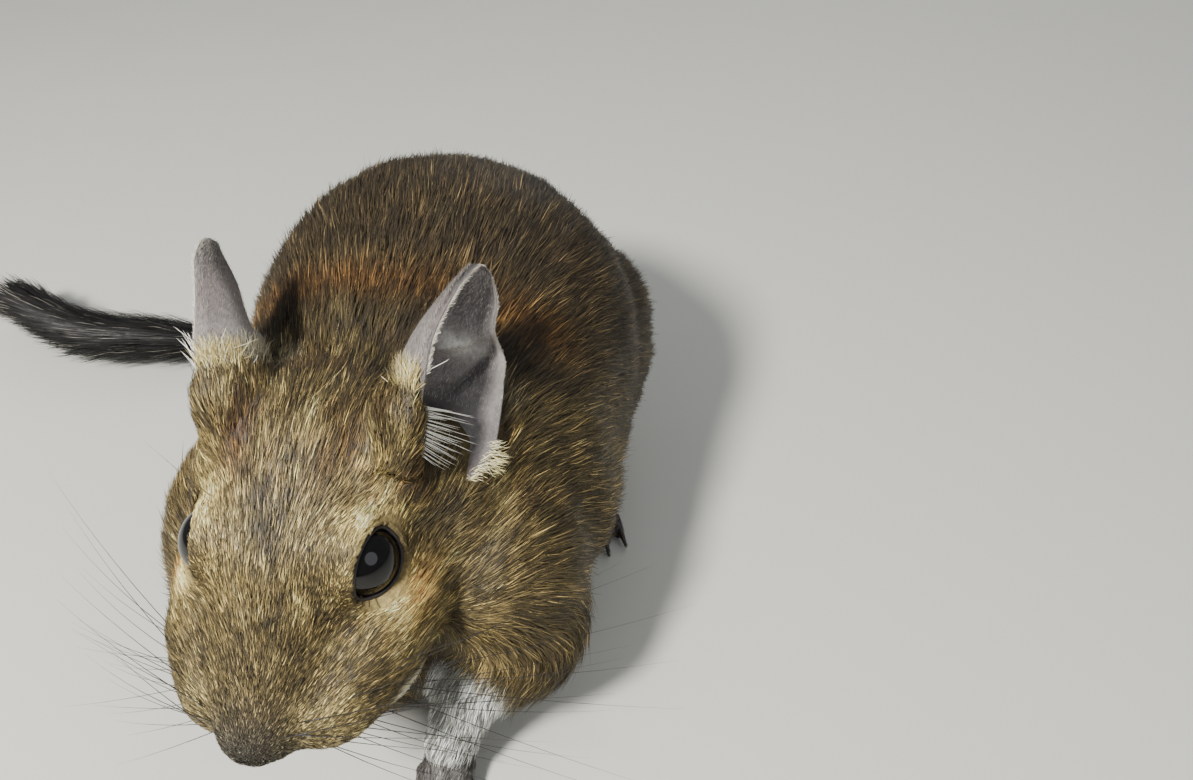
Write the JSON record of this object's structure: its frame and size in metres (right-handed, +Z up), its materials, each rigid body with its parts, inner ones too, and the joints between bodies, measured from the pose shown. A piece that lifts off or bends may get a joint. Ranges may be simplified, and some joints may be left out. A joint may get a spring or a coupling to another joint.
{
  "type": "degu museum model",
  "caption": "Life-size model of a crouching degu with lowered head, upright leaf-shaped ears, furred body, small clawed feet and a tufted tail curled to one side.",
  "frame": {"origin": "centre of the model's footprint, on the floor plane under its feet", "axes": "+Z up; the animal faces -Y and its left side is +X; the tail is curled round toward -X"},
  "size_m": [0.154, 0.1316, 0.0719],
  "materials": {
    "fur": "short agouti fur, matte",
    "skin": "fine grey skin with sparse down, matte",
    "cornea": "black, wet gloss",
    "hair": "long black brush hair, matte"
  },
  "bodies": {
    "root": {"head": "fur", "neck": "fur", "torso": "fur", "ear_left": "skin", "ear_right": "skin", "eye_left": "cornea", "eye_right": "cornea", "fore_leg_left": "fur", "fore_leg_right": "fur", "hind_leg_left": "fur", "hind_leg_right": "fur", "fore_foot_left": "skin", "fore_foot_right": "skin", "hind_foot_left": "skin", "hind_foot_right": "skin", "tail_root": "fur", "tail_middle": "fur", "tail_tuft": "hair"}
  },
  "joints": []
}
